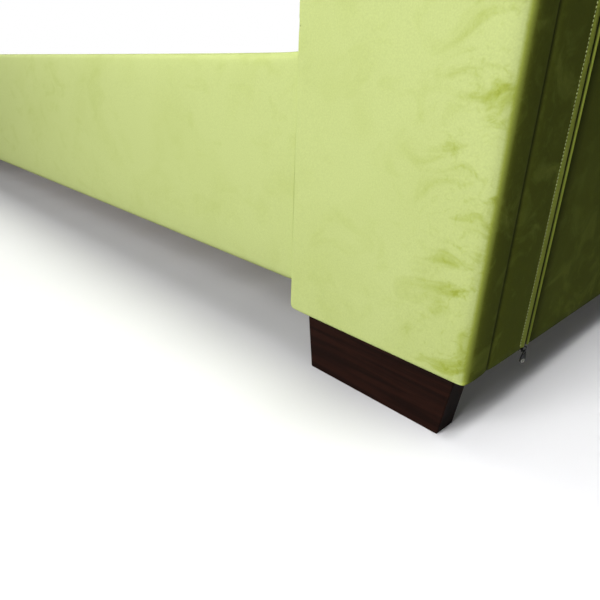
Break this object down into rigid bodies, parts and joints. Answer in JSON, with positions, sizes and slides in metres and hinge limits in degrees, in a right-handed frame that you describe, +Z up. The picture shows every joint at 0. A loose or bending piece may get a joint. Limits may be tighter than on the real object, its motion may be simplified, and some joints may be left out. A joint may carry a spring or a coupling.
{
  "type": "upholstered bed",
  "caption": "Double bed upholstered in velvet, with a deep box headboard whose cover zips off at the back, dark plank feet and a slatted base on a centre beam.",
  "frame": {"origin": "on the floor, under the middle of the bed's bounding box", "axes": "+X to the right of somebody at the foot end, +Y from the foot end to the headboard, +Z up"},
  "size_m": [1.736, 2.3526, 1.05],
  "materials": {
    "lime_velvet": "short pile velvet",
    "foam": "open cell foam",
    "pine": "planed, unfinished",
    "chipboard": "raw chipboard",
    "hardboard": "raw hardboard",
    "dark_stained_wood": "dark stain, satin lacquer",
    "black_steel": "black powder coat",
    "black_plastic": "moulded, matt",
    "zinc_steel": "zinc plated",
    "zip_tape": "woven polyester",
    "zip_metal": "black enamel",
    "black_fleece": "nonwoven"
  },
  "bodies": {
    "bed": {"head_left_bracket": "black_steel", "head_left_bolt": "zinc_steel", "head_right_bracket": "black_steel", "head_right_bolt": "zinc_steel", "foot_left_bracket": "black_steel", "foot_left_bolt": "zinc_steel", "foot_right_bracket": "black_steel", "foot_right_bolt": "zinc_steel", "headboard_bottom_board": "chipboard", "headboard_top_board": "chipboard", "headboard_side_board_left": "chipboard", "headboard_side_board_right": "chipboard", "headboard_front_board": "chipboard", "headboard_back_board": "hardboard", "headboard_bolt_rail": "pine", "headboard_padding": "foam", "headboard_cover": "lime_velvet", "headboard_back_panel": "lime_velvet", "headboard_dust_cloth": "black_fleece", "footboard_cover": "lime_velvet", "footboard_board": "chipboard", "footboard_padding": "foam", "zip_tape_outer_left": "zip_tape", "zip_tape_inner_left": "zip_tape", "zip_tape_outer_right": "zip_tape", "zip_tape_inner_right": "zip_tape", "side_rail_cover_left": "lime_velvet", "side_rail_board_left": "chipboard", "side_rail_padding_left": "foam", "slat_ledger_left": "pine", "side_rail_cover_right": "lime_velvet", "side_rail_board_right": "chipboard", "side_rail_padding_right": "foam", "slat_ledger_right": "pine", "head_foot_left": "dark_stained_wood", "foot_end_foot_left": "dark_stained_wood", "head_foot_right": "dark_stained_wood", "foot_end_foot_right": "dark_stained_wood", "centre_beam": "pine", "beam_cradle_head": "black_steel", "beam_cradle_foot": "black_steel", "centre_leg_head": "black_plastic", "centre_leg_foot": "black_plastic", "slat_01": "pine", "slat_02": "pine", "slat_03": "pine", "slat_04": "pine", "slat_05": "pine", "slat_06": "pine", "slat_07": "pine", "slat_08": "pine", "slat_09": "pine", "slat_10": "pine", "slat_11": "pine", "slat_12": "pine", "slat_13": "pine"},
    "zip_slider_left": {"zip_slider_left": "zip_metal"},
    "zip_pull_left": {"zip_pull_left": "zip_metal"},
    "zip_slider_right": {"zip_slider_right": "zip_metal"},
    "zip_pull_right": {"zip_pull_right": "zip_metal"}
  },
  "joints": [
    {"name": "zip_slide_left", "type": "slide", "parent": "bed", "child": "zip_slider_left", "axis": [0, 0, 1], "range_m": [0, 0.89]},
    {"name": "zip_pull_hinge_left", "type": "hinge", "parent": "zip_slider_left", "child": "zip_pull_left", "pos_m": [-0.7315, 1.17475, 0.06705], "axis": [1, 0, 0], "range_deg": [0, 170]},
    {"name": "zip_slide_right", "type": "slide", "parent": "bed", "child": "zip_slider_right", "axis": [0, 0, 1], "range_m": [0, 0.89]},
    {"name": "zip_pull_hinge_right", "type": "hinge", "parent": "zip_slider_right", "child": "zip_pull_right", "pos_m": [0.7315, 1.17475, 0.06705], "axis": [1, 0, 0], "range_deg": [0, 170]}
  ]
}
